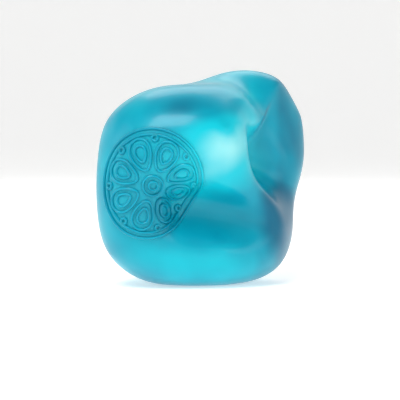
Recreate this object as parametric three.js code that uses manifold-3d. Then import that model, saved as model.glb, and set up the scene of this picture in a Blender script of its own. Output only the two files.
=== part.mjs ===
// Squeeze ball for hand and grip exercise, modelled as it lies in a closed left hand.
//
// A soft moulded skin holds a dough filling, and a round plug closes the port that the
// filling went in through. The filling doesn't compress, so the ball keeps its volume:
// where the hand presses it in, it swells out between the fingers. The shape is found
// that way too. The skin is a net of stretched springs round a fixed volume, and the
// fingers, the thumb, the palm and the surface under the ball close on it step by step.
//
// Lengths are in mm. +Z is up, +Y points into the palm, and the origin is on the flat
// underside, below the centre of the ball before it was squeezed.

import * as THREE from 'three';
import { mergeVertices } from 'three/addons/utils/BufferGeometryUtils.js';
import Module from 'manifold-3d';

const wasm = await Module();
wasm.setup();

// ---------------------------------------------------------------- driving dimensions

const BALL_RADIUS = 33.3; // the ball before it is squeezed
const BALL_CENTRE = [0, 0, 34];
const SKIN_WALL = 1.8;
const CLEARANCE = 0.3; // left between pieces that touch
const BALL_DIVISIONS = 14; // cells along one edge of the cube that the round net starts as

// The palm is a flat wall behind the ball, and the table is a flat floor under it.
const PALM_Y = 27;
const FLOOR_Z = 0;
const PALM_TRAVEL = 14;
const FLOOR_TRAVEL = 6;

// The filling port is on the palm side, with its axis along Y.
const PORT_X = 0;
const PORT_Z = 34;
const BOSS_RADIUS = 9;
const BOSS_DEPTH = 4.2;
const SEAT_RADIUS = 5.8;
const SEAT_DEPTH = 1.5;
const HOLE_RADIUS = 3.6;

const PLUG_HEAD_RADIUS = SEAT_RADIUS - CLEARANCE;
const PLUG_HEAD_DEPTH = SEAT_DEPTH - CLEARANCE;
const PLUG_STEM_RADIUS = HOLE_RADIUS - CLEARANCE;
const PLUG_TIP_RADIUS = 2.8;
const PLUG_LENGTH = 4.1;
const PLUG_CHAMFER = 0.25;
const ROUND_SEGMENTS = 40;

// Each finger is a row of bones with one radius. It comes in along `inward`, then slides
// the rest of the way along `across`, as a fingertip that presses in and then curls.
const FINGERS = {
  thumb: { bones: [[-55, 12, 64], [-25, 4, 74.5], [1, -2, 75.5]], radius: 9, inward: [0, 0, 16] },
  index: { bones: [[45, 36, 60], [41, 26, 79], [15, 18, 82]], radius: 8, inward: [12, 16, 16] },
  middle: { bones: [[69, 10, 55.5], [25, 4, 55.5]], radius: 8, inward: [4, -42, 0], across: [20, 0, 0] },
  ring: { bones: [[69, 3, 42.5], [14, -3, 42.5]], radius: 8, inward: [4, -42, 0], across: [20, 0, 0] },
  little: {
    bones: [[27, 4, -2], [34, -10, 12], [29, -16, 18], [-8, -19.5, 26]],
    radius: 7.7,
    inward: [0, -34, 0],
    across: [8, 0, 0],
  },
  thumbPad: { bones: [[-65, 4, 80], [-65, 6, 10]], radius: 30, inward: [-14, 4, 0] },
  heel: { bones: [[-51, 44, -8], [29, 44, -12]], radius: 24, inward: [0, 14, -10] },
  thumbTip: { bones: [[9, 2, 72], [21, -1, 56.5]], radius: 4.5, inward: [10, -14, 12] },
};

// Longer springs round this direction let a lobe rise beside the thumb tip. They are a shape
// control, set for the lobe's height and width, and fade with the angle in radians.
const LOOSE_TOWARDS = [0.75, 0.3, 0.65];
const LOOSE_ANGLE = 0.45;
const LOOSE_SHARE = 1.6;

// How the net of springs settles
const SPRING_REST = 0.85; // free length of a spring, as a share of its length on the round ball
const SETTLE_STEPS = 800;
const CLOSING_SHARE = 0.7; // share of the steps in which the hand closes
const INWARD_END = 0.55; // share of the closing at which the inward move ends
const ACROSS_START = 0.4; // share of the closing at which the move across starts
const SPRING_STIFFNESS = 0.055;
const SPEED_KEPT = 0.9; // share of its speed that a point keeps from one step to the next
const FINGER_SLIP = 0.15; // share of the spring pull that moves a point held by a finger
const WALL_SLIP = 0.5; // share of its speed that a point keeps on the palm or the floor
const TOUCH = 0.02; // a point this close to a finger is still held by it
const EVENING_ROUNDS = 10; // the thick skin doesn't take small creases, so they are evened out
const EVENING_SHARES = [0.5, -0.52]; // towards the neighbours' middle, then back so that nothing shrinks

// ---------------------------------------------------------------- small vector helpers

const add = (a, b, share = 1) => [a[0] + b[0] * share, a[1] + b[1] * share, a[2] + b[2] * share];
const subtract = (a, b) => add(a, b, -1);
const dot = (a, b) => a[0] * b[0] + a[1] * b[1] + a[2] * b[2];
const cross = (a, b) => [a[1] * b[2] - a[2] * b[1], a[2] * b[0] - a[0] * b[2], a[0] * b[1] - a[1] * b[0]];
const size = (a) => Math.sqrt(dot(a, a));
const clamp = (value) => Math.min(1, Math.max(0, value));
const ease = (share) => clamp(share) ** 2 * (3 - 2 * clamp(share));

// ---------------------------------------------------------------- closed meshes and solids

// The geometry's shared corners are merged, and triangles that shrank to a line are dropped.
function weld(geometry) {
  const bare = geometry.clone();
  bare.deleteAttribute('normal');
  bare.deleteAttribute('uv');
  const merged = mergeVertices(bare, 1e-4);
  const points = [];
  for (let i = 0; i < merged.attributes.position.count; i += 1) {
    points.push(new THREE.Vector3().fromBufferAttribute(merged.attributes.position, i).toArray());
  }
  const triangles = [];
  for (let i = 0; i < merged.index.count; i += 3) {
    const [a, b, c] = [0, 1, 2].map((corner) => merged.index.getX(i + corner));
    if (a !== b && b !== c && c !== a) triangles.push([a, b, c]);
  }
  return { points, triangles };
}

function solidOf({ points, triangles }) {
  const mesh = new wasm.Mesh({
    numProp: 3,
    vertProperties: new Float32Array(points.flat()),
    triVerts: new Uint32Array(triangles.flat()),
  });
  return new wasm.Manifold(mesh);
}

function namedMesh(name, solid, colour, roughness) {
  const { vertProperties, triVerts } = solid.getMesh();
  const geometry = new THREE.BufferGeometry();
  geometry.setAttribute('position', new THREE.BufferAttribute(new Float32Array(vertProperties), 3));
  geometry.setIndex(Array.from(triVerts));
  geometry.computeVertexNormals();
  const material = new THREE.MeshStandardMaterial({ color: colour, roughness, metalness: 0 });
  const mesh = new THREE.Mesh(geometry, material);
  mesh.name = name;
  return mesh;
}

// A round bar along Y that reaches from `nearY` to `farY` at the filling port
function portBar(radius, nearY, farY) {
  const bar = new THREE.CylinderGeometry(radius, radius, farY - nearY, ROUND_SEGMENTS);
  bar.translate(PORT_X, (nearY + farY) / 2, PORT_Z);
  return solidOf(weld(bar));
}

// ---------------------------------------------------------------- the ball as a net of springs

// A cube's grid blown up to a sphere, with cells of nearly equal size all over
function roundBall() {
  const cube = new THREE.BoxGeometry(2, 2, 2, BALL_DIVISIONS, BALL_DIVISIONS, BALL_DIVISIONS);
  const ball = weld(cube);
  ball.points = ball.points.map((corner) => {
    const spread = corner.map((value) => Math.tan((value * Math.PI) / 4));
    return add(BALL_CENTRE, spread, BALL_RADIUS / size(spread));
  });
  return ball;
}

// One spring along every side and both diagonals of every cell. The cube's triangles come
// in pairs (a, b, d) and (b, c, d), and each pair is the cell a, b, c, d.
function springsOf({ points, triangles }) {
  const springs = new Map();
  const tie = (from, to) => {
    const key = Math.min(from, to) * points.length + Math.max(from, to);
    const rest = SPRING_REST * size(subtract(points[from], points[to]));
    const middle = subtract(add(points[from], points[to]), add(BALL_CENTRE, BALL_CENTRE));
    const cosine = dot(middle, LOOSE_TOWARDS) / (size(middle) * size(LOOSE_TOWARDS));
    const angle = Math.acos(Math.min(1, Math.max(-1, cosine)));
    const loose = 1 + LOOSE_SHARE * Math.exp(-((angle / LOOSE_ANGLE) ** 2));
    if (!springs.has(key)) springs.set(key, { from, to, rest: rest * loose });
  };
  for (let i = 0; i < triangles.length; i += 2) {
    const [a, b, d] = triangles[i];
    const c = triangles[i + 1][1];
    [[a, b], [b, c], [c, d], [d, a], [a, c], [b, d]].forEach(([from, to]) => tie(from, to));
  }
  return [...springs.values()];
}

function volumeOf({ points, triangles }) {
  const parts = triangles.map(([a, b, c]) => dot(points[a], cross(points[b], points[c])));
  return parts.reduce((sum, part) => sum + part, 0) / 6;
}

// Each point's outward direction, and the area of skin that belongs to it
function outwardOf({ points, triangles }) {
  const sums = points.map(() => [0, 0, 0]);
  for (const [a, b, c] of triangles) {
    const face = cross(subtract(points[b], points[a]), subtract(points[c], points[a]));
    for (const corner of [a, b, c]) sums[corner] = add(sums[corner], face, 1 / 6);
  }
  return sums.map((sum) => ({ area: size(sum), direction: add([0, 0, 0], sum, 1 / size(sum)) }));
}

function nearestOnBones(point, bones) {
  let best = { distance: Infinity, spot: bones[0] };
  for (let i = 1; i < bones.length; i += 1) {
    const along = subtract(bones[i], bones[i - 1]);
    const share = clamp(dot(subtract(point, bones[i - 1]), along) / dot(along, along));
    const spot = add(bones[i - 1], along, share);
    const distance = size(subtract(point, spot));
    if (distance < best.distance) best = { distance, spot };
  }
  return best;
}

// Moves each point towards the middle of its neighbours and back, on the free skin and
// along the palm and the floor, which stay flat.
function evenOut({ points }, springs) {
  for (let round = 0; round < EVENING_ROUNDS; round += 1) {
    for (const share of EVENING_SHARES) {
      const sums = points.map(() => [0, 0, 0, 0]);
      for (const { from, to } of springs) {
        const reach = subtract(points[to], points[from]);
        sums[from] = [...add(sums[from], reach), sums[from][3] + 1];
        sums[to] = [...add(sums[to], reach, -1), sums[to][3] + 1];
      }
      points.forEach((point, i) => {
        const [x, y, z] = add(point, sums[i], share / sums[i][3]);
        const onPalm = point[1] === PALM_Y;
        const onFloor = point[2] === FLOOR_Z;
        points[i] = [x, onPalm ? PALM_Y : Math.min(y, PALM_Y), onFloor ? FLOOR_Z : Math.max(z, FLOOR_Z)];
      });
    }
  }
}

// Closes the hand on the round ball and returns the pressed shape.
function squeeze(ball) {
  const { points } = ball;
  const springs = springsOf(ball);
  const filledVolume = volumeOf(ball);
  const speeds = points.map(() => [0, 0, 0]);
  const still = { across: [0, 0, 0], shift: null };
  const fingers = Object.values(FINGERS).map((finger) => ({ ...still, ...finger, held: new Set() }));

  for (let step = 0; step < SETTLE_STEPS; step += 1) {
    const closing = step / (SETTLE_STEPS * CLOSING_SHARE);
    const inwardLeft = 1 - ease(closing / INWARD_END);
    const acrossLeft = 1 - ease((closing - ACROSS_START) / (1 - ACROSS_START));

    // points held by a finger travel with it
    const held = new Set();
    for (const finger of fingers) {
      const shift = add(add([0, 0, 0], finger.inward, inwardLeft), finger.across, acrossLeft);
      for (const i of finger.held) {
        if (!held.has(i)) points[i] = add(points[i], subtract(shift, finger.shift));
        held.add(i);
      }
      finger.shift = shift;
    }

    // the springs pull
    const pulls = points.map(() => [0, 0, 0]);
    for (const { from, to, rest } of springs) {
      const reach = subtract(points[to], points[from]);
      const share = 1 - rest / size(reach);
      pulls[from] = add(pulls[from], reach, share);
      pulls[to] = add(pulls[to], reach, -share);
    }
    points.forEach((point, i) => {
      const pull = add([0, 0, 0], pulls[i], SPRING_STIFFNESS);
      const kept = add(pull, speeds[i], SPEED_KEPT);
      speeds[i] = held.has(i) ? add([0, 0, 0], pull, FINGER_SLIP) : kept;
      points[i] = add(point, speeds[i]);
    });

    // the filling pushes the free skin out until the volume is right again
    const outward = outwardOf(ball);
    const freeArea = outward.reduce((sum, { area }, i) => sum + (held.has(i) ? 0 : area), 0);
    const swell = (filledVolume - volumeOf(ball)) / freeArea;
    points.forEach((point, i) => {
      if (!held.has(i)) points[i] = add(point, outward[i].direction, swell);
    });

    // nothing stays inside a finger
    for (const finger of fingers) {
      const bones = finger.bones.map((bone) => add(bone, finger.shift));
      const holding = new Set();
      points.forEach((point, i) => {
        const { distance, spot } = nearestOnBones(point, bones);
        if (distance < finger.radius) points[i] = add(spot, subtract(point, spot), finger.radius / distance);
        const stillTouching = finger.held.has(i) && distance < finger.radius + TOUCH;
        if (distance < finger.radius || stillTouching) holding.add(i);
      });
      finger.held = holding;
    }

    // nothing passes the palm or the floor
    const palm = PALM_Y + PALM_TRAVEL * inwardLeft;
    const floor = FLOOR_Z - FLOOR_TRAVEL * inwardLeft;
    points.forEach(([x, y, z], i) => {
      if (y <= palm && z >= floor) return;
      points[i] = [x, Math.min(y, palm), Math.max(z, floor)];
      speeds[i] = add([0, 0, 0], speeds[i], WALL_SLIP);
    });
  }
  evenOut(ball, springs);
  return ball;
}

// The pressed surface moved in along its own outward directions
function inset(ball, depth) {
  const outward = outwardOf(ball);
  const points = ball.points.map((point, i) => add(point, outward[i].direction, -depth));
  return solidOf({ points, triangles: ball.triangles });
}

// ---------------------------------------------------------------- pieces

// The moulded skin, with a thick boss inside it round the filling port
function makeSkin(ball) {
  const outer = inset(ball, 0);
  const boss = portBar(BOSS_RADIUS, PALM_Y - BOSS_DEPTH, PALM_Y + 1).intersect(outer);
  const seat = portBar(SEAT_RADIUS, PALM_Y - SEAT_DEPTH, PALM_Y + 1);
  const hole = portBar(HOLE_RADIUS, PALM_Y - BOSS_DEPTH - 1, PALM_Y + 1);
  const solid = outer.subtract(inset(ball, SKIN_WALL)).add(boss).subtract(seat).subtract(hole);
  return namedMesh('skin', solid, 0x0b96b4, 0.3);
}

// The dough that fills the skin, with a recess round the port's boss and the plug's tip
function makeFilling(ball) {
  const recess = portBar(BOSS_RADIUS + CLEARANCE, PALM_Y - BOSS_DEPTH - CLEARANCE, PALM_Y + 1);
  const solid = inset(ball, SKIN_WALL + CLEARANCE).subtract(recess);
  return namedMesh('filling', solid, 0xe9eef0, 0.8);
}

// The plug: a flat round head that lies level with the skin, and a stem that tapers inward
function makeFillPlug() {
  const profile = [
    [0, -PLUG_LENGTH],
    [PLUG_TIP_RADIUS, -PLUG_LENGTH],
    [PLUG_STEM_RADIUS, -PLUG_HEAD_DEPTH - (PLUG_LENGTH - PLUG_HEAD_DEPTH) / 2],
    [PLUG_STEM_RADIUS, -PLUG_HEAD_DEPTH],
    [PLUG_HEAD_RADIUS, -PLUG_HEAD_DEPTH],
    [PLUG_HEAD_RADIUS, -PLUG_CHAMFER],
    [PLUG_HEAD_RADIUS - PLUG_CHAMFER, 0],
    [0, 0],
  ].map(([radius, height]) => new THREE.Vector2(radius, height));
  const plug = new THREE.LatheGeometry(profile, ROUND_SEGMENTS);
  plug.translate(PORT_X, PALM_Y, PORT_Z);
  return namedMesh('fill_plug', solidOf(weld(plug)), 0x0a7f9a, 0.45);
}

// ---------------------------------------------------------------- assembly

const pressedBall = squeeze(roundBall());
const group = new THREE.Group();
group.add(makeSkin(pressedBall), makeFilling(pressedBall), makeFillPlug());

export default group;
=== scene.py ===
"""Squeeze ball for hand exercise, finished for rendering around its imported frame.

The ball is a moulded thermoplastic-rubber skin full of soft dough, closed by a round plug.
It keeps the shape that a closed left hand presses it into. The shape is worked out here
as the part's own source does it: a net of stretched springs round a volume that can't
change, with the fingers, the palm and the table closing on it. Lengths are in millimetres
until a mesh is made, and in metres from there on.
"""

import logging
import math
from dataclasses import dataclass, field
from enum import Enum

import bmesh
import bpy
import numpy as np
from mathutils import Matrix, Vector

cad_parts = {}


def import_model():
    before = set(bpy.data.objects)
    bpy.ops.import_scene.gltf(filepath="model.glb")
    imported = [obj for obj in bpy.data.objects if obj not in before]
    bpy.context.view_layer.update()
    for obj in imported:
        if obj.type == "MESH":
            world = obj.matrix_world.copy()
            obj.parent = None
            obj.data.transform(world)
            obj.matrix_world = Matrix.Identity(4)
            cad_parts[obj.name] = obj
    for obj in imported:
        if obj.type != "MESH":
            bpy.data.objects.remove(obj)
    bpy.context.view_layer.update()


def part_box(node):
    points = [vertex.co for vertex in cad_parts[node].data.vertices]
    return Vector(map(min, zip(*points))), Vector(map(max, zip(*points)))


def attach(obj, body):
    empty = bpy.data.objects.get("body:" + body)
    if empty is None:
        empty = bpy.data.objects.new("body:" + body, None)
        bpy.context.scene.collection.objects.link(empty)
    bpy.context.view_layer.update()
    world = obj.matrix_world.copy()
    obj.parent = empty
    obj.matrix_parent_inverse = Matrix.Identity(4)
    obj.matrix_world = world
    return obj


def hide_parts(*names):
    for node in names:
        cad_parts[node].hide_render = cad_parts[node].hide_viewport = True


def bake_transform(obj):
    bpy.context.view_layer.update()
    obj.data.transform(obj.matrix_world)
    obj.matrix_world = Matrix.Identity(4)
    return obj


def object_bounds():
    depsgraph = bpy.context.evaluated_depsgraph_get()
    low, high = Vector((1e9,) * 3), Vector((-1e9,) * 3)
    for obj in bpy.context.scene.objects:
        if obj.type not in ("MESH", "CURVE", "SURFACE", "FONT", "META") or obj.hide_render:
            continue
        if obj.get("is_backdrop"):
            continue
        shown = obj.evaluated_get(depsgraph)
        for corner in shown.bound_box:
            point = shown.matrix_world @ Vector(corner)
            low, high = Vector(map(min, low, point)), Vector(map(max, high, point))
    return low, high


LOG = logging.getLogger("squeeze_ball")
MM = 0.001


# ------------------------------------------------------------------ small shared tools


class Body(Enum):
    """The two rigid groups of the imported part."""

    BALL = "ball"
    PALM_SIDE = "palm_side"


class Slot(Enum):
    """The record's material slots."""

    SKIN = "skin_rubber"
    FILLING = "filling_dough"
    PLUG = "plug_rubber"


def ease(share: float) -> float:
    """Smoothstep of a share held between 0 and 1."""
    share = min(1.0, max(0.0, share))
    return share * share * (3.0 - 2.0 * share)


def linear(hex_colour: str) -> tuple[float, float, float, float]:
    """Turns an sRGB hex colour into linear RGBA.

    Args:
        hex_colour: six hex digits, such as "0b96b4".

    Returns:
        The linear colour with alpha 1.
    """
    parts = [int(hex_colour[i : i + 2], 16) / 255 for i in (0, 2, 4)]
    red, green, blue = (p / 12.92 if p <= 0.04045 else ((p + 0.055) / 1.055) ** 2.4 for p in parts)
    return (red, green, blue, 1.0)


def add_node(tree, kind: str, inputs: dict | None = None, links: dict | None = None, **settings):
    """Adds one shader node.

    Args:
        tree: the node tree.
        kind: the node's type name.
        inputs: values by socket name or number.
        links: output sockets by the name or number of the input that they feed.
        settings: the node's own properties.

    Returns:
        The new node.
    """
    node = tree.nodes.new(kind)
    for name, value in settings.items():
        setattr(node, name, value)
    for socket, value in (inputs or {}).items():
        node.inputs[socket].default_value = value
    for socket, output in (links or {}).items():
        tree.links.new(output, node.inputs[socket])
    return node


def make_object(
    name: str, points: np.ndarray, quads: np.ndarray, triangles: np.ndarray | None = None, smooth: bool = True
) -> bpy.types.Object:
    """Makes a mesh object at the origin from points in millimetres.

    Args:
        name: the piece's name.
        points: (n, 3) points in mm.
        quads: (m, 4) point numbers.
        triangles: (k, 3) point numbers, if any.
        smooth: whether the faces are shaded smooth.

    Returns:
        The object, linked to the scene.
    """
    faces = quads.tolist() + ([] if triangles is None else triangles.tolist())
    mesh = bpy.data.meshes.new(name)
    mesh.from_pydata((points * MM).tolist(), [], faces)
    mesh.polygons.foreach_set("use_smooth", [smooth] * len(mesh.polygons))
    mesh.update()
    obj = bpy.data.objects.new(name, mesh)
    bpy.context.scene.collection.objects.link(obj)
    return obj


def apply_modifiers(obj: bpy.types.Object) -> None:
    """Bakes an object's modifiers into its mesh."""
    graph = bpy.context.evaluated_depsgraph_get()
    mesh = bpy.data.meshes.new_from_object(obj.evaluated_get(graph), depsgraph=graph)
    obj.modifiers.clear()
    obj.data = mesh


def read_points(obj: bpy.types.Object) -> np.ndarray:
    """An object's mesh points in mm, as an (n, 3) array."""
    flat = np.empty(len(obj.data.vertices) * 3)
    obj.data.vertices.foreach_get("co", flat)
    return flat.reshape(-1, 3) / MM


def write_attribute(obj: bpy.types.Object, name: str, values: np.ndarray) -> None:
    """Stores one number for each point of a mesh."""
    layer = obj.data.attributes.new(name, "FLOAT", "POINT")
    layer.data.foreach_set("value", values.astype(np.float32))


# ------------------------------------------------------------------ the pressed shape


@dataclass(frozen=True)
class Finger:
    """A finger, the thumb or a pad of the hand: a row of bones with one radius.

    It comes in along `inward` and slides the rest of the way along `across`.
    """

    bones: tuple[tuple[float, float, float], ...]
    radius: float
    inward: tuple[float, float, float]
    across: tuple[float, float, float] = (0.0, 0.0, 0.0)


LEFT_HAND = (
    Finger(((-55, 12, 64), (-25, 4, 74.5), (1, -2, 75.5)), 9.0, (0, 0, 16)),
    Finger(((45, 36, 60), (41, 26, 79), (15, 18, 82)), 8.0, (12, 16, 16)),
    Finger(((69, 10, 55.5), (25, 4, 55.5)), 8.0, (4, -42, 0), (20, 0, 0)),
    Finger(((69, 3, 42.5), (14, -3, 42.5)), 8.0, (4, -42, 0), (20, 0, 0)),
    Finger(((27, 4, -2), (34, -10, 12), (29, -16, 18), (-8, -19.5, 26)), 7.7, (0, -34, 0), (8, 0, 0)),
    Finger(((-65, 4, 80), (-65, 6, 10)), 30.0, (-14, 4, 0)),
    Finger(((-51, 44, -8), (29, 44, -12)), 24.0, (0, 14, -10)),
    Finger(((9, 2, 72), (21, -1, 56.5)), 4.5, (10, -14, 12)),
)


@dataclass
class PressedBall:
    """The ball's outer surface, from round to pressed, on a cube's grid blown up to a sphere.

    The grid is turned so that the middle of its -Y face is the middle of the raised
    medallion, which keeps the medallion on one regular patch.
    """

    palm_y: float
    divisions: int = 20
    steps: int = 1100
    radius: float = 33.3
    centre: tuple[float, float, float] = (0.0, 0.0, 34.0)
    floor_z: float = 0.0
    palm_travel: float = 14.0
    floor_travel: float = 6.0
    turn: float = -math.radians(23.0)
    tilt: float = -math.radians(5.0)
    spring_rest: float = 0.85
    loose_towards: tuple[float, float, float] = (0.75, 0.3, 0.65)
    loose_angle: float = 0.45
    loose_share: float = 1.6
    closing_share: float = 0.7
    inward_end: float = 0.55
    across_start: float = 0.4
    stiffness: float = 0.055
    speed_kept: float = 0.9
    finger_slip: float = 0.15
    wall_slip: float = 0.5
    touch: float = 0.02
    evening_rounds: int = 10
    evening_shares: tuple[float, float] = (0.5, -0.52)
    points: np.ndarray = field(init=False)
    round_points: np.ndarray = field(init=False)
    quads: np.ndarray = field(init=False)
    grid: np.ndarray = field(init=False)

    def __post_init__(self) -> None:
        """Builds the round net and presses it."""
        self._make_net()
        self.round_points = self.points.copy()
        self._tie_springs()
        self._press()
        self._even_out()

    def _make_net(self) -> None:
        """Six square grids with tangent spacing, merged along the cube's edges."""
        n = self.divisions
        steps = np.tan(np.linspace(-1.0, 1.0, n + 1) * np.pi / 4)
        a, b = np.meshgrid(steps, steps, indexing="ij")
        one = np.ones_like(a)
        sides = ((a, -one, b), (-a, one, b), (one, a, b), (-one, -a, b), (a, b, one), (a, -b, -one))
        corners = np.concatenate([np.stack(side, -1).reshape(-1, 3) for side in sides])
        _, first, number = np.unique(
            np.round(corners * 1e5).astype(np.int64), axis=0, return_index=True, return_inverse=True
        )
        number = number.ravel()
        i, j = np.meshgrid(np.arange(n), np.arange(n), indexing="ij")
        cell = (i * (n + 1) + j).ravel()
        ring = np.stack([cell, cell + n + 1, cell + n + 2, cell + 1], -1)
        self.quads = np.concatenate([number[ring + k * (n + 1) ** 2] for k in range(len(sides))])
        self.grid = number[: (n + 1) ** 2].reshape(n + 1, n + 1)
        unit = corners[first] / np.linalg.norm(corners[first], axis=1)[:, None]
        self.points = unit @ self._turned().T * self.radius + np.array(self.centre)

    def _turned(self) -> np.ndarray:
        """The rotation that tilts the grid about X and then turns it about Z."""
        ct, st, cz, sz = math.cos(self.tilt), math.sin(self.tilt), math.cos(self.turn), math.sin(self.turn)
        about_x = np.array([[1, 0, 0], [0, ct, -st], [0, st, ct]])
        about_z = np.array([[cz, -sz, 0], [sz, cz, 0], [0, 0, 1]])
        return about_z @ about_x

    def _tie_springs(self) -> None:
        """One spring along every side and both diagonals of every cell.

        Dough that escapes past the thumb tip draws the skin out there, so the springs round
        that direction rest longer, by a share that falls off as exp(-(angle / width)^2).
        """
        q = self.quads
        ends = ([0, 1], [1, 2], [2, 3], [3, 0], [0, 2], [1, 3])
        pairs = np.concatenate([q[:, end] for end in ends])
        self.springs = np.unique(np.sort(pairs, axis=1), axis=0)
        reach = self.points[self.springs[:, 1]] - self.points[self.springs[:, 0]]
        middle = self.points[self.springs].mean(axis=1) - np.array(self.centre)
        cosine = middle @ np.array(self.loose_towards) / np.linalg.norm(middle, axis=1)
        angle = np.arccos(np.clip(cosine / np.linalg.norm(self.loose_towards), -1, 1))
        loose = 1 + self.loose_share * np.exp(-((angle / self.loose_angle) ** 2))
        self.rest = np.linalg.norm(reach, axis=1) * self.spring_rest * loose

    def _gather(self, along: np.ndarray) -> np.ndarray:
        """Sums a vector of every spring at its first point, and its opposite at the second."""
        total = len(self.points)
        first, second = self.springs.T
        starts = [np.bincount(first, c, minlength=total) for c in along.T]
        finishes = [np.bincount(second, c, minlength=total) for c in along.T]
        return np.stack(starts, -1) - np.stack(finishes, -1)

    def outward(self, points: np.ndarray) -> tuple[np.ndarray, np.ndarray]:
        """Each point's outward direction and its share of the surface.

        Args:
            points: (n, 3) places of the net's points.

        Returns:
            Unit directions (n, 3), and areas (n,).
        """
        corner = points[self.quads]
        face = np.cross(corner[:, 2] - corner[:, 0], corner[:, 3] - corner[:, 1]) / 8
        sums = np.stack(
            [np.bincount(self.quads.ravel(), np.repeat(c, 4), minlength=len(points)) for c in face.T], -1
        )
        area = np.linalg.norm(sums, axis=1)
        return sums / area[:, None], area

    def volume(self) -> float:
        """The volume inside the net, with each cell cut into two triangles."""
        a, b, c, d = (self.points[self.quads[:, k]] for k in range(4))
        return float((a * (np.cross(b, c) + np.cross(c, d))).sum() / 6)

    @staticmethod
    def _nearest(points: np.ndarray, bones: np.ndarray) -> tuple[np.ndarray, np.ndarray]:
        """The nearest spot on a row of bones to each point, and how far away it is."""
        best = np.full(len(points), np.inf)
        spot = np.zeros_like(points)
        for start, end in zip(bones[:-1], bones[1:]):
            along = end - start
            share = np.clip((points - start) @ along / (along @ along), 0, 1)
            place = start + share[:, None] * along
            distance = np.linalg.norm(points - place, axis=1)
            closer = distance < best
            best[closer], spot[closer] = distance[closer], place[closer]
        return best, spot

    def _press(self) -> None:
        """Closes the hand on the round ball, one small step at a time."""
        filled = self.volume()
        speed = np.zeros_like(self.points)
        holding = [np.zeros(len(self.points), bool) for _ in LEFT_HAND]
        shifts: list[np.ndarray | None] = [None] * len(LEFT_HAND)
        for step in range(self.steps):
            closing = step / (self.steps * self.closing_share)
            inward_left = 1 - ease(closing / self.inward_end)
            across_left = 1 - ease((closing - self.across_start) / (1 - self.across_start))
            held = np.zeros(len(self.points), bool)
            for k, finger in enumerate(LEFT_HAND):
                shift = np.array(finger.inward) * inward_left + np.array(finger.across) * across_left
                carried = holding[k] & ~held
                if shifts[k] is not None:
                    self.points[carried] += shift - shifts[k]
                held |= holding[k]
                shifts[k] = shift
            reach = self.points[self.springs[:, 1]] - self.points[self.springs[:, 0]]
            length = np.linalg.norm(reach, axis=1)
            pull = self._gather(reach * (1 - self.rest / length)[:, None]) * self.stiffness
            speed = self.speed_kept * speed + pull
            speed[held] = pull[held] * self.finger_slip
            self.points += speed
            direction, area = self.outward(self.points)
            swell = (filled - self.volume()) / area[~held].sum()
            self.points[~held] += direction[~held] * swell
            for k, finger in enumerate(LEFT_HAND):
                distance, spot = self._nearest(self.points, np.array(finger.bones, float) + shifts[k])
                inside = distance < finger.radius
                away = (self.points[inside] - spot[inside]) / distance[inside, None]
                self.points[inside] = spot[inside] + away * finger.radius
                holding[k] = inside | (holding[k] & (distance < finger.radius + self.touch))
            palm = self.palm_y + self.palm_travel * inward_left
            floor = self.floor_z - self.floor_travel * inward_left
            stopped = (self.points[:, 1] > palm) | (self.points[:, 2] < floor)
            self.points[:, 1] = np.minimum(self.points[:, 1], palm)
            self.points[:, 2] = np.maximum(self.points[:, 2], floor)
            speed[stopped] *= self.wall_slip

    def _even_out(self) -> None:
        """Takes out small creases, with the palm's and the table's flats kept flat."""
        ties = np.bincount(self.springs.ravel(), minlength=len(self.points))[:, None]
        on_palm = self.points[:, 1] == self.palm_y
        on_floor = self.points[:, 2] == self.floor_z
        rounds = self.evening_rounds * (self.divisions // 10)
        for share in self.evening_shares * rounds:
            reach = self.points[self.springs[:, 1]] - self.points[self.springs[:, 0]]
            self.points += self._gather(reach) / ties * share
            self.points[:, 1] = np.where(on_palm, self.palm_y, np.minimum(self.points[:, 1], self.palm_y))
            self.points[:, 2] = np.where(on_floor, self.floor_z, np.maximum(self.points[:, 2], self.floor_z))

    def stretch(self) -> np.ndarray:
        """How much each point's share of the surface has grown from the round ball."""
        return self.outward(self.points)[1] / self.outward(self.round_points)[1]

    def patch(self, u: np.ndarray, v: np.ndarray, values: np.ndarray) -> np.ndarray:
        """Reads the smooth surface over the -Y face of the grid.

        A uniform cubic B-spline over the net's points, which is what subdivision gives there.

        Args:
            u: places along the face, in cells from its low edge.
            v: places up the face, in cells.
            values: (n, 3) values at the net's points.

        Returns:
            The surface at each place, with a last axis of 3.
        """
        i, j = np.floor(u).astype(int), np.floor(v).astype(int)
        su, sv = u - i, v - j

        def weights(s: np.ndarray) -> list[np.ndarray]:
            """The four cubic B-spline weights at share s of a cell."""
            rising = (-3 * s**3 + 3 * s**2 + 3 * s + 1) / 6
            return [(1 - s) ** 3 / 6, (3 * s**3 - 6 * s**2 + 4) / 6, rising, s**3 / 6]

        wu, wv = weights(su), weights(sv)
        out = np.zeros(u.shape + (3,))
        for a in range(4):
            for b in range(4):
                out += (wu[a] * wv[b])[..., None] * values[self.grid[i + a - 1, j + b - 1]]
        return out


# ------------------------------------------------------------------ finishes


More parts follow.
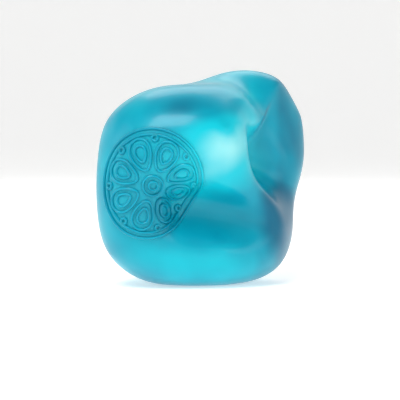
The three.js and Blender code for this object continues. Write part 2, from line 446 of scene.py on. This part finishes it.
@dataclass(frozen=True)
class MouldedRubber:
    """Translucent thermoplastic rubber from a polished mould: an even satin gloss.

    White dough shows through where the skin is stretched thin, so a `stretch` attribute
    turns the colour paler. The same attribute also carries painted light and painted shade
    from paleness(): a painted glow and a painted highlight that turn the front paler, and a
    painted reflection and painted shade that turn it deeper. Light that enters the skin
    comes out again a few millimetres away, which softens the shading.
    """

    name: str
    deep: str = "00607f"
    body: str = "0097af"
    bright: str = "0cc0d0"
    pale: str = "b8efec"
    roughness: float = 0.3
    scatter_mm: float = 2.6
    cloud_mm: float = 16.0
    cloud_share: float = 0.35
    smear_mm: float = 9.0
    grain_mm: float = 0.7
    grain_height_mm: float = 0.012

    def material(self) -> bpy.types.Material:
        """Builds the material.

        Returns:
            A material that reads Object coordinates and the `stretch` attribute.
        """
        mat = bpy.data.materials.new(self.name)
        mat.use_nodes = True
        tree = mat.node_tree
        shader = tree.nodes["Principled BSDF"]
        place = add_node(tree, "ShaderNodeTexCoord").outputs["Object"]
        stretch = add_node(tree, "ShaderNodeAttribute", attribute_name="stretch").outputs["Fac"]
        # slow change of tone, as the dough lies unevenly behind the skin
        cloud = add_node(
            tree,
            "ShaderNodeTexNoise",
            {"Scale": 1 / (self.cloud_mm * MM), "Detail": 2.0, "Roughness": 0.4},
            {"Vector": place},
        )
        drift = add_node(
            tree,
            "ShaderNodeMath",
            {1: self.cloud_share, 2: -self.cloud_share / 2},
            {0: cloud.outputs["Fac"]},
            operation="MULTIPLY_ADD",
        )
        amount = add_node(tree, "ShaderNodeMath", links={0: stretch, 1: drift.outputs[0]}, operation="ADD")
        ramp = add_node(tree, "ShaderNodeValToRGB", links={"Fac": amount.outputs[0]})
        ramp.color_ramp.interpolation = "EASE"
        stops = ((0.0, self.deep), (0.3, self.body), (0.62, self.bright), (1.0, self.pale))
        while len(ramp.color_ramp.elements) < len(stops):
            ramp.color_ramp.elements.new(0.5)
        for element, (position, colour) in zip(ramp.color_ramp.elements, stops):
            element.position, element.color = position, linear(colour)
        tree.links.new(ramp.outputs["Color"], shader.inputs["Base Color"])
        # handling leaves faint smears in the gloss
        smear = add_node(
            tree,
            "ShaderNodeTexNoise",
            {"Scale": 1 / (self.smear_mm * MM), "Detail": 4.0, "Roughness": 0.6},
            {"Vector": place},
        )
        gloss = add_node(
            tree,
            "ShaderNodeMapRange",
            {"To Min": self.roughness - 0.05, "To Max": self.roughness + 0.09},
            {"Value": smear.outputs["Fac"]},
        )
        tree.links.new(gloss.outputs["Result"], shader.inputs["Roughness"])
        grain = add_node(
            tree, "ShaderNodeTexNoise", {"Scale": 1 / (self.grain_mm * MM), "Detail": 2.0}, {"Vector": place}
        )
        bump = add_node(
            tree,
            "ShaderNodeBump",
            {"Strength": 0.5, "Distance": self.grain_height_mm * MM},
            {"Height": grain.outputs["Fac"]},
        )
        tree.links.new(bump.outputs["Normal"], shader.inputs["Normal"])
        shader.inputs["IOR"].default_value = 1.5
        shader.inputs["Subsurface Weight"].default_value = 0.3
        shader.inputs["Subsurface Radius"].default_value = (0.1, 0.8, 1.0)
        shader.inputs["Subsurface Scale"].default_value = self.scatter_mm * MM
        shader.inputs["Specular IOR Level"].default_value = 0.38
        shader.inputs["Specular Tint"].default_value = linear("b4e6ee")
        shader.inputs["Coat Weight"].default_value = 0.15
        shader.inputs["Coat Roughness"].default_value = 0.12
        return mat


@dataclass(frozen=True)
class Dough:
    """Flour-and-gel dough: matt, off-white, with fine grains and a slightly lumpy surface."""

    name: str = "flour_dough"
    light: str = "f1f2ee"
    shade: str = "dcdfdc"
    lump_mm: float = 6.0
    grain_mm: float = 0.5

    def material(self) -> bpy.types.Material:
        """Builds the material on Object coordinates."""
        mat = bpy.data.materials.new(self.name)
        mat.use_nodes = True
        tree = mat.node_tree
        shader = tree.nodes["Principled BSDF"]
        place = add_node(tree, "ShaderNodeTexCoord").outputs["Object"]
        lumps = add_node(
            tree, "ShaderNodeTexNoise", {"Scale": 1 / (self.lump_mm * MM), "Detail": 5.0}, {"Vector": place}
        )
        colour = add_node(
            tree,
            "ShaderNodeMix",
            {6: linear(self.shade), 7: linear(self.light)},
            {0: lumps.outputs["Fac"]},
            data_type="RGBA",
        )
        tree.links.new(colour.outputs[2], shader.inputs["Base Color"])
        grain = add_node(tree, "ShaderNodeTexNoise", {"Scale": 1 / (self.grain_mm * MM)}, {"Vector": place})
        bump = add_node(
            tree, "ShaderNodeBump", {"Strength": 0.4, "Distance": 0.05 * MM}, {"Height": grain.outputs["Fac"]}
        )
        tree.links.new(bump.outputs["Normal"], shader.inputs["Normal"])
        shader.inputs["Roughness"].default_value = 0.85
        shader.inputs["Subsurface Weight"].default_value = 0.3
        shader.inputs["Subsurface Scale"].default_value = 2 * MM
        return mat


# ------------------------------------------------------------------ the pieces


@dataclass
class FillingPort:
    """The port's sizes, in mm. It lies on the palm side with its axis along +Y."""

    centre: tuple[float, float]
    face_y: float
    boss_radius: float = 9.0
    boss_depth: float = 4.2
    seat_radius: float = 5.8
    seat_depth: float = 1.5
    hole_radius: float = 3.6
    boss_blend: float = 3.0
    around: int = 96

    def turned(self, name: str, profile: np.ndarray) -> bpy.types.Object:
        """Turns a closed profile about the port's axis.

        Args:
            name: the piece's name.
            profile: (n, 2) radius and height over the palm face, going round the section
                so that outward is on its right. Points on the axis are merged.

        Returns:
            The closed object.
        """
        angle = np.arange(self.around) * 2 * np.pi / self.around
        x = self.centre[0] + np.outer(profile[:, 0], np.cos(angle))
        z = self.centre[1] + np.outer(profile[:, 0], np.sin(angle))
        y = self.face_y + np.repeat(profile[:, 1:], self.around, axis=1)
        points = np.stack([x, y, z], -1).reshape(-1, 3)
        closed = profile[0, 0] > 0
        rows = np.arange(len(profile) - (0 if closed else 1))
        i, j = np.meshgrid(rows, np.arange(self.around), indexing="ij")
        after, beside = (i + 1) % len(profile), (j + 1) % self.around
        ring = self.around
        quads = np.stack([i * ring + j, after * ring + j, after * ring + beside, i * ring + beside], -1)
        obj = make_object(name, points, quads.reshape(-1, 4))
        merge_and_face_out(obj)
        return obj

    def dip(self, points: np.ndarray, wall: float) -> np.ndarray:
        """The depth of the skin's inner face: the wall, and the boss near the port."""
        reach = np.hypot(points[:, 0] - self.centre[0], points[:, 2] - self.centre[1])
        near = np.clip((self.boss_radius + self.boss_blend - reach) / self.boss_blend, 0, 1)
        near = np.where(points[:, 1] > self.face_y - 1.0, near * near * (3 - 2 * near), 0)
        return wall + (self.boss_depth - wall) * near


def merge_and_face_out(obj: bpy.types.Object, distance: float = 1e-6) -> None:
    """Merges a closed mesh's doubled points and turns its faces outward."""
    mesh = bmesh.new()
    mesh.from_mesh(obj.data)
    bmesh.ops.remove_doubles(mesh, verts=mesh.verts, dist=distance)
    bmesh.ops.recalc_face_normals(mesh, faces=mesh.faces)
    mesh.to_mesh(obj.data)
    mesh.free()
    obj.data.update()


def fine_net(
    name: str, ball: PressedBall, points: np.ndarray, levels: int
) -> tuple[np.ndarray, np.ndarray, np.ndarray]:
    """Subdivides the ball's net into a smooth surface.

    Args:
        name: a name for the passing object.
        ball: the pressed ball, for its cells and stretch.
        points: (n, 3) places of the net's points in mm.
        levels: how many times each cell is halved.

    Returns:
        Points in mm, quads, and the stretch at each point.
    """
    obj = make_object(name, points, ball.quads)
    write_attribute(obj, "stretch", ball.stretch())
    modifier = obj.modifiers.new("smooth", "SUBSURF")
    modifier.levels = modifier.render_levels = levels
    apply_modifiers(obj)
    mesh = obj.data
    quads = np.empty(len(mesh.loops), np.int32)
    mesh.loops.foreach_get("vertex_index", quads)
    stretch = np.empty(len(mesh.vertices), np.float32)
    mesh.attributes["stretch"].data.foreach_get("value", stretch)
    result = read_points(obj), quads.reshape(-1, 4), stretch
    bpy.data.objects.remove(obj)
    return result


@dataclass
class Skin:
    """The moulded skin: an outer and an inner surface, and the stepped port through both."""

    ball: PressedBall
    port: FillingPort
    finish: MouldedRubber
    wall: float = 1.8
    outer_levels: int = 2
    inner_levels: int = 1
    rim_radius: float = 7.3
    rim_height: float = 0.4
    rim_half_width: float = 0.9
    rim_sunk: float = 0.3
    rim_tone: float = 0.25
    cut_spare: float = 0.15
    seat_margin: float = 0.5

    def build(self) -> list[bpy.types.Object]:
        """Makes the skin and the raised rim round the port."""
        outward, _ = self.ball.outward(self.ball.points)
        outer, quads, stretch = fine_net("outer", self.ball, self.ball.points, self.outer_levels)
        inset = self.ball.points - outward * self.port.dip(self.ball.points, self.wall)[:, None]
        inner, inner_quads, inner_stretch = fine_net("inner", self.ball, inset, self.inner_levels)
        points = np.concatenate([outer, inner])
        faces = np.concatenate([quads, inner_quads[:, ::-1] + len(outer)])
        skin = make_object("ball_skin", points, faces)
        # the stretch attribute here holds paleness(): the stretch, with painted light and painted shade added
        write_attribute(skin, "stretch", paleness(np.concatenate([stretch, inner_stretch]), points))
        self._cut_port(skin)
        rim = self._rim()
        for piece in (skin, rim):
            piece.data.materials.clear()
            piece.data.materials.append(self.finish.material())
        return [skin, rim]

    def _cut_port(self, skin: bpy.types.Object) -> None:
        """Cuts the seat and the hole through the wall with one stepped bar."""
        p = self.port
        bar = p.turned(
            "port_bar",
            np.array(
                [
                    [0, -p.boss_depth - self.cut_spare],
                    [p.hole_radius, -p.boss_depth - self.cut_spare],
                    [p.hole_radius, -p.seat_depth],
                    [p.seat_radius, -p.seat_depth],
                    [p.seat_radius, 1.0],
                    [0, 1.0],
                ]
            ),
        )
        cut = skin.modifiers.new("port", "BOOLEAN")
        cut.operation, cut.solver, cut.object = "DIFFERENCE", "EXACT", bar
        apply_modifiers(skin)
        bpy.data.objects.remove(bar)
        values = np.empty(len(skin.data.vertices), np.float32)
        skin.data.attributes["stretch"].data.foreach_get("value", values)
        points = read_points(skin)
        reach = np.hypot(points[:, 0] - p.centre[0], points[:, 2] - p.centre[1])
        near = (reach < p.boss_radius) & (points[:, 1] > p.face_y - p.boss_depth - 1)
        edge = p.seat_radius + self.seat_margin
        values[near & (reach < edge)] = values[near & (reach > edge)].mean()
        skin.data.attributes["stretch"].data.foreach_set("value", values)

    def _rim(self) -> bpy.types.Object:
        """A low raised ring round the seat, with a half-round section sunk in the skin."""
        turn = np.linspace(0, 2 * np.pi, 16, endpoint=False)
        across = self.rim_radius + self.rim_half_width * np.cos(turn)
        height = np.sin(turn) * np.where(np.sin(turn) > 0, self.rim_height, self.rim_sunk)
        rim = self.port.turned("port_rim", np.stack([across, height], -1))
        write_attribute(rim, "stretch", np.full(len(rim.data.vertices), self.rim_tone))
        return rim


@dataclass(frozen=True)
class Patch:
    """A soft oval of the front that raises the paleness, or lowers it with a negative amount; the ovals hold
    pale dough seen through the skin, painted light and painted shade.
    """

    x: float
    z: float
    half_width: float
    half_height: float
    amount: float

    def over(self, points: np.ndarray) -> np.ndarray:
        """The amount times exp(-(x distance / half width)^2 - (z distance / half height)^2)."""
        across = (points[:, 0] - self.x) / self.half_width
        up = (points[:, 2] - self.z) / self.half_height
        return self.amount * np.exp(-(across**2) - up**2)


FRONT_DOUGH_AND_PAINTED_LIGHT = (
    # pale dough behind the thinnest skin, with a painted glow of light passing through it
    Patch(3.0, 45.0, 14.0, 11.0, 0.5),
    # the pale area running down to the left: pale dough with a painted glow
    Patch(-8.0, 36.0, 9.0, 6.0, 0.16),
    # painted reflection and painted shade: a deeper crescent under the top highlight
    Patch(-6.0, 58.5, 14.0, 4.5, -0.3),
    # painted highlight: a broad soft bright spot low on the bottom lobe
    Patch(-5.0, 8.0, 16.0, 7.0, 0.22),
)


def paleness(stretch: np.ndarray, points: np.ndarray) -> np.ndarray:
    """Turns area growth into a share from 0, deep, to 1, pale.

    The share grows with the stretch. Soft ovals at the front and a deeper tone towards the
    right are placed one by one. Two ovals add pale dough seen through the thin skin together
    with a painted glow of light passing through it; one is painted reflection and painted
    shade, a deeper crescent under the top highlight; one is a painted highlight low on the
    bottom lobe. The deeper tone towards the right is painted shade where the hand and the
    folds shade the ball.

    Args:
        stretch: area growth, about 0.8 to 1.3.
        points: (n, 3) places in mm.

    Returns:
        One share for each point.
    """
    front = np.clip((2 - points[:, 1]) / 14, 0, 1)
    # painted shade: the colour turns deeper towards the right, where the hand and the folds shade the ball
    right = np.clip((points[:, 0] - 13) / 10, 0, 1)
    ovals = sum(patch.over(points) for patch in FRONT_DOUGH_AND_PAINTED_LIGHT)
    return 0.34 + 0.45 * np.clip(stretch - 1, -0.3, 0.3) + ovals * front - 0.3 * right


@dataclass
class Medallion:
    """Raised lines on the skin: a generic flower of almond petals in a ring.

    Every line is a closed curve on the round ball, and its rounded ridge follows the
    pressed surface. Its flat base is sunk in the skin.
    """

    ball: PressedBall
    finish: MouldedRubber
    petals: int = 8
    petal_start: float = 5.6
    petal_end: float = 15.6
    petal_half_width: float = 3.4
    inner_share: float = 0.52
    ring_radius: float = 18.4
    eye_radius: float = 3.4
    bead_radius: float = 0.9
    bead_place: float = 15.4
    line_half_width: float = 0.58
    line_height: float = 0.7
    deeper: float = 0.14
    sunk: float = 0.45

    def curves(self) -> list[np.ndarray]:
        """Every line as (n, 2) places in mm from the medallion's middle, in closed order."""
        lines = [self._circle(0, 0, r, 220) for r in (self.ring_radius, self.ring_radius - 1.9)]
        lines += [self._circle(0, 0, r, 70) for r in (self.eye_radius, self.eye_radius * 0.45)]
        for k in range(self.petals):
            angle = 2 * math.pi * (k + 0.5) / self.petals
            lines.append(self._almond(angle, 1.0))
            lines.append(self._almond(angle, self.inner_share))
            between = angle + math.pi / self.petals
            lines.append(self._circle(*self._polar(self.bead_place, between), self.bead_radius, 26))
        return lines

    @staticmethod
    def _polar(radius: float, angle: float) -> tuple[float, float]:
        """A place at a radius and an angle."""
        return radius * math.cos(angle), radius * math.sin(angle)

    @staticmethod
    def _circle(x: float, y: float, radius: float, count: int) -> np.ndarray:
        """A circle's points."""
        t = np.linspace(0, 2 * np.pi, count, endpoint=False)
        return np.stack([x + radius * np.cos(t), y + radius * np.sin(t)], -1)

    def _almond(self, angle: float, share: float) -> np.ndarray:
        """A petal's closed outline, widest past its middle.

        At turn t the place along the petal is middle - half cos t, and the half width there
        is w sin t (1 - 0.28 cos t).

        Args:
            angle: which way the petal points, in radians.
            share: 1 for the outer outline, less for one inside it.

        Returns:
            (n, 2) places in mm.
        """
        middle = (self.petal_start + self.petal_end) / 2 + (1 - share) * 0.6
        half = (self.petal_end - self.petal_start) / 2 * share
        t = np.linspace(0, 2 * np.pi, 90, endpoint=False)
        along = middle - half * np.cos(t)
        side = self.petal_half_width * share * np.sin(t) * (1 + 0.28 * -np.cos(t))
        x = along * math.cos(angle) - side * math.sin(angle)
        y = along * math.sin(angle) + side * math.cos(angle)
        return np.stack([x, y], -1)

    def _cells(self, flat: np.ndarray) -> tuple[np.ndarray, np.ndarray]:
        """Places on the round ball, as cells of the grid's front face.

        A place at distance r from the middle lies r along the ball's surface from it.
        """
        reach = np.maximum(np.linalg.norm(flat, axis=-1), 1e-9)
        lean = reach / self.ball.radius
        x, z = (flat[..., k] / reach * np.sin(lean) for k in range(2))
        y = np.cos(lean)
        half = self.ball.divisions / 2
        return (np.arctan(x / y) * 4 / np.pi + 1) * half, (np.arctan(z / y) * 4 / np.pi + 1) * half

    def _surface(self, flat: np.ndarray) -> np.ndarray:
        """The pressed surface at places given on the round ball."""
        return self.ball.patch(*self._cells(flat), self.ball.points)

    def _ridge(self, line: np.ndarray) -> tuple[np.ndarray, np.ndarray, np.ndarray]:
        """One line's ridge: its section is carried along the curve.

        Args:
            line: (n, 2) closed curve.

        Returns:
            Points in mm, quads, and the flat places that the points came from.
        """
        tangent = np.roll(line, -1, axis=0) - np.roll(line, 1, axis=0)
        tangent /= np.linalg.norm(tangent, axis=1)[:, None]
        side = np.stack([tangent[:, 1], -tangent[:, 0]], -1)
        share = np.array([-1.0, -0.8, -0.55, -0.28, 0.0, 0.28, 0.55, 0.8, 1.0])
        height = self.line_height * np.cos(share * np.pi / 2) ** 0.8
        height[[0, -1]] = -0.1
        share, height = np.append(share, 0.0), np.append(height, -self.sunk)
        flat = line[:, None] + side[:, None] * (share * self.line_half_width)[None, :, None]
        steps = np.array([[0.05, 0.0], [0.0, 0.05]])
        east, north = (self._surface(flat + step) - self._surface(flat - step) for step in steps)
        outward = np.cross(east, north)
        outward /= np.linalg.norm(outward, axis=-1)[..., None]
        points = self._surface(flat) + outward * height[None, :, None]
        rows, columns = points.shape[:2]
        i, j = np.meshgrid(np.arange(rows), np.arange(columns), indexing="ij")
        nxt, beside = (i + 1) % rows, (j + 1) % columns
        here, there = i * columns, nxt * columns
        quads = np.stack([here + j, there + j, there + beside, here + beside], -1)
        return points.reshape(-1, 3), quads.reshape(-1, 4), flat.reshape(-1, 2)

    def build(self) -> bpy.types.Object:
        """Makes all the ridges as one piece."""
        parts = [self._ridge(line) for line in self.curves()]
        starts = np.cumsum([0] + [len(points) for points, _, _ in parts[:-1]])
        points = np.concatenate([p for p, _, _ in parts])
        quads = np.concatenate([q + start for (_, q, _), start in zip(parts, starts)])
        flat = np.concatenate([f for _, _, f in parts])
        obj = make_object("skin_medallion", points, quads)
        merge_and_face_out(obj)
        stretch = np.repeat(self.ball.stretch()[:, None], 3, axis=1)
        grown = self.ball.patch(*self._cells(flat), stretch)[:, 0]
        # the stretch attribute here holds paleness(): the stretch, with painted light and painted shade added
        write_attribute(obj, "stretch", paleness(grown, points) - self.deeper)
        obj.data.materials.append(self.finish.material())
        return obj


@dataclass
class Filling:
    """The dough inside: the skin's inner shape with a small gap, dipped under the boss."""

    ball: PressedBall
    port: FillingPort
    wall: float = 1.8
    gap: float = 0.3

    def build(self) -> bpy.types.Object:
        """Makes the dough."""
        outward, _ = self.ball.outward(self.ball.points)
        depth = self.port.dip(self.ball.points, self.wall) + self.gap
        points, quads, _ = fine_net("dough", self.ball, self.ball.points - outward * depth[:, None], 1)
        obj = make_object("dough_core", points, quads)
        obj.data.materials.append(Dough().material())
        return obj


@dataclass
class Plug:
    """The round plug: a flat head with a rolled edge and a moulded ring, and a barbed stem."""

    port: FillingPort
    finish: MouldedRubber
    gap: float = 0.3
    edge: float = 0.35
    length: float = 4.1

    def build(self) -> bpy.types.Object:
        """Turns the plug's profile about the port's axis."""
        head = self.port.seat_radius - self.gap
        stem = self.port.hole_radius - self.gap
        under = -(self.port.seat_depth - self.gap)
        turn = np.linspace(0, np.pi / 2, 7)
        edge = np.stack([head - self.edge * (1 - np.cos(turn)), -self.edge * (1 - np.sin(turn))], -1)
        ring_in = np.linspace(4.1, 3.3, 9)
        ring = np.stack([ring_in, -0.22 * np.sin(np.linspace(0, np.pi, 9)) ** 2], -1)
        gate_in = np.linspace(1.3, 0.0, 8)
        gate = np.stack([gate_in, -0.3 * np.cos(gate_in / 1.3 * np.pi / 2) ** 2], -1)
        stem_down = [
            [0, -self.length],
            [2.2, -self.length],
            [2.8, -self.length + 0.35],
            [stem, -self.length + 1.3],
            [stem - 0.25, -self.length + 1.5],
            [stem - 0.25, under],
            [head, under],
        ]
        profile = np.concatenate([np.array(stem_down), edge, ring, gate])
        obj = self.port.turned("plug_body", profile)
        write_attribute(obj, "stretch", np.full(len(obj.data.vertices), 0.12))
        obj.data.materials.append(self.finish.material())
        return obj


# ------------------------------------------------------------------ the room


@dataclass(frozen=True)
class Softbox:
    """A square studio light, in metres and watts."""

    place: tuple[float, float, float]
    width: float
    height: float
    power: float
    colour: str = "ffffff"


SOFTBOXES = (
    Softbox((-0.22, -0.42, 0.7), 0.45, 0.3, 4.0),
    Softbox((0.7, -0.5, 0.3), 0.4, 0.5, 0.9, "f4f8ff"),
    Softbox((0.1, 0.55, 0.7), 0.8, 0.4, 2.4),
    Softbox((-0.7, -0.1, 0.3), 0.3, 0.6, 0.8, "fffaf4"),
)


@dataclass
class Studio:
    """A pale floor that curves up all round, soft lights and the camera."""

    target: tuple[float, float, float] = (-4.33, 0.0, 28.0)
    frame_width: float = 133.3
    lens: float = 120.0
    sensor: float = 36.0
    elevation: float = 3.0
    floor_radius: float = 1.1
    wall_radius: float = 1.6
    floor_drop: float = 0.05
    floor_sides: int = 96

    def build(self) -> None:
        """Makes the room, lights and camera."""
        self._camera()
        self._floor()
        for number, box in enumerate(SOFTBOXES):
            self._light(number, box)
        world = bpy.data.worlds.new("studio_air")
        world.use_nodes = True
        world.node_tree.nodes["Background"].inputs["Color"].default_value = linear("ffffff")
        world.node_tree.nodes["Background"].inputs["Strength"].default_value = 0.2
        bpy.context.scene.world = world
        bpy.context.scene.view_settings.view_transform = "Standard"

    def _camera(self) -> None:
        """A long lens, level with the ball and looking along +Y."""
        distance = self.frame_width * self.lens / self.sensor
        rise = math.radians(self.elevation)
        target = Vector(self.target) * MM
        place = target + Vector((0, -math.cos(rise), math.sin(rise))) * distance * MM
        camera = bpy.data.objects.new("camera", bpy.data.cameras.new("camera"))
        camera.data.lens, camera.data.sensor_width = self.lens, self.sensor
        camera.location = place
        camera.rotation_euler = (target - place).to_track_quat("-Z", "Y").to_euler()
        camera.data.clip_start, camera.data.clip_end = 0.01, 20
        bpy.context.scene.collection.objects.link(camera)
        bpy.context.scene.camera = camera

    def _floor(self) -> None:
        """A disc with a quarter-round sweep up to a low wall, turned about +Z."""
        turn = np.linspace(0, np.pi / 2, 16)
        sweep = self.floor_radius + self.wall_radius * np.sin(turn[1:])
        reach = np.concatenate([[1e-4, 0.3, 1.0, self.floor_radius], sweep])
        rise = np.concatenate([np.zeros(4), self.wall_radius * (1 - np.cos(turn[1:]))])
        ring = self.floor_sides
        angle = np.arange(ring) * 2 * np.pi / ring
        x, y = np.outer(reach, np.cos(angle)), np.outer(reach, np.sin(angle))
        z = np.repeat(rise[:, None], ring, axis=1) - self.floor_drop * MM
        i, j = np.meshgrid(np.arange(len(reach) - 1), np.arange(ring), indexing="ij")
        here, there, beside = i * ring, (i + 1) * ring, (j + 1) % ring
        quads = np.stack([here + j, there + j, there + beside, here + beside], -1)
        floor = make_object("floor", np.stack([x, y, z], -1).reshape(-1, 3) / MM, quads.reshape(-1, 4))
        mat = bpy.data.materials.new("pale_board")
        mat.use_nodes = True
        shader = mat.node_tree.nodes["Principled BSDF"]
        shader.inputs["Base Color"].default_value = linear("f3f3f2")
        shader.inputs["Roughness"].default_value = 0.9
        shader.inputs["Emission Color"].default_value = linear("ffffff")
        shader.inputs["Emission Strength"].default_value = 0.45
        floor.data.materials.append(mat)
        floor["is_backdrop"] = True

    @staticmethod
    def _light(number: int, box: Softbox) -> None:
        """Hangs one softbox so that it faces the ball."""
        data = bpy.data.lights.new(f"softbox_{number}", "AREA")
        data.shape, data.size, data.size_y = "RECTANGLE", box.width, box.height
        data.energy, data.color = box.power, linear(box.colour)[:3]
        light = bpy.data.objects.new(f"softbox_{number}", data)
        light.location = box.place
        light.rotation_euler = (Vector((0, 0, 0.034)) - Vector(box.place)).to_track_quat("-Z", "Y").to_euler()
        bpy.context.scene.collection.objects.link(light)


# ------------------------------------------------------------------ putting it together


def corners() -> list[list[float]]:
    """The model's lowest and highest corners as plain lists."""
    return [[float(v) for v in corner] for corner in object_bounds()]


def main() -> None:
    """Builds every piece in order in the imported frame, and ties the plug to the palm side."""
    logging.basicConfig(level=logging.INFO, format="%(message)s")
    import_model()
    Studio().build()
    low, high = (Vector(corner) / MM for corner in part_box("fill_plug"))
    port = FillingPort(centre=((low.x + high.x) / 2, (low.z + high.z) / 2), face_y=high.y)
    ball = PressedBall(palm_y=high.y)
    LOG.info("pressed ball %s to %s", ball.points.min(0).round(1), ball.points.max(0).round(1))
    rubber = MouldedRubber("moulded_translucent_rubber")
    plug_rubber = MouldedRubber("moulded_plug_rubber", deep="006580", body="00809d", roughness=0.38)

    skin, rim = Skin(ball, port, rubber).build()
    medallion = Medallion(ball, rubber).build()
    dough = Filling(ball, port).build()
    plug = Plug(port, plug_rubber).build()
    for piece in (skin, rim, medallion, dough):
        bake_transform(piece)
    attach(plug, Body.PALM_SIDE.value)
    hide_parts("skin")
    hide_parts("filling")
    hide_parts("fill_plug")
    for piece in (skin, rim, medallion, dough, plug):
        LOG.info("%s: %d faces", piece.name, len(piece.data.polygons))


if __name__ == "__main__":
    main()
